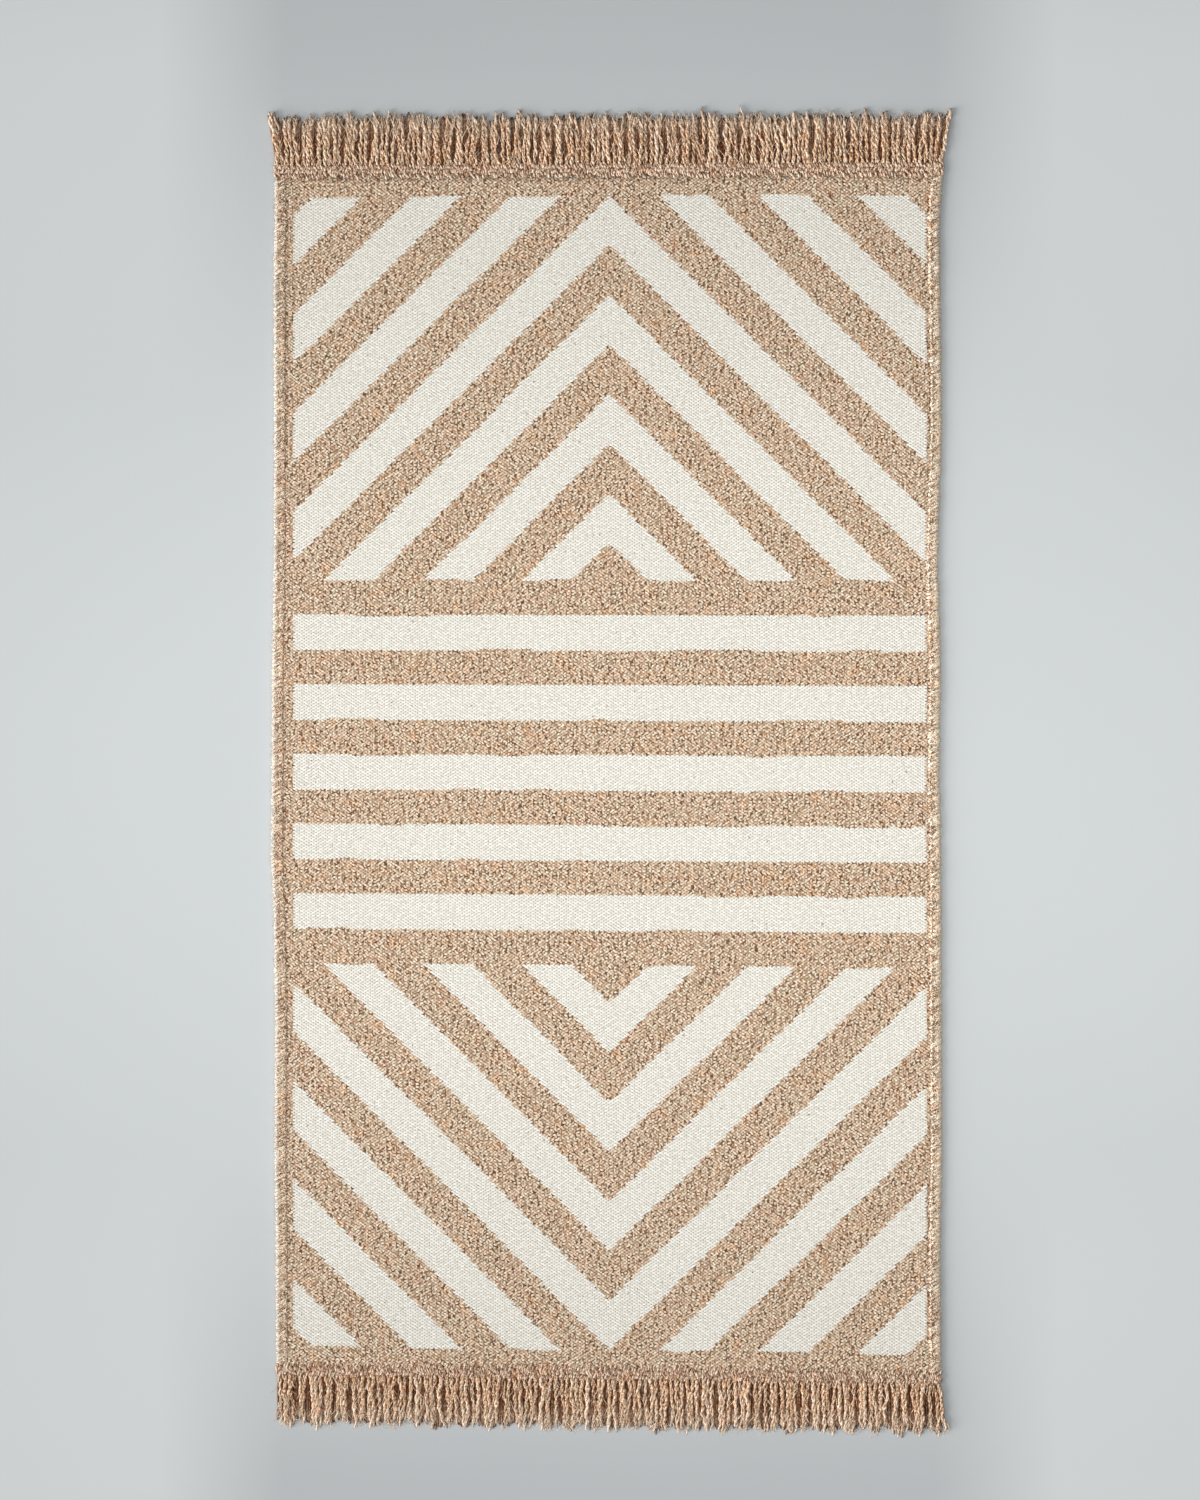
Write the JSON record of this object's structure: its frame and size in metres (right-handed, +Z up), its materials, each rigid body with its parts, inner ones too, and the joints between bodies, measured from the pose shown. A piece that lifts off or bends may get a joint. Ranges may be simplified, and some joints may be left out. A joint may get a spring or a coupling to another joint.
{
  "type": "kilim runner rug",
  "caption": "Flat-woven rectangular rug with overcast long edges, a looped heading and a fringe of yarn strands at each short end.",
  "frame": {"origin": "on the floor plane under the middle of the whole rug, fringe included", "axes": "+Y along the rug's length, from one fringe to the other; +X across its width; +Z up from the floor"},
  "size_m": [0.82, 1.5868, 0.006],
  "materials": {
    "flat_weave": "thick flat weave of heather tan and cream yarn, matt",
    "edge_yarn": "heather tan yarn overcast round the edge, matt and a little fuzzy",
    "fringe_yarn": "heather tan twisted yarn, matt and fuzzy at the tips"
  },
  "bodies": {
    "root": {"woven_cloth": "flat_weave", "binding_left": "edge_yarn", "binding_right": "edge_yarn", "fringe_top": "fringe_yarn", "fringe_bottom": "fringe_yarn"}
  },
  "joints": []
}
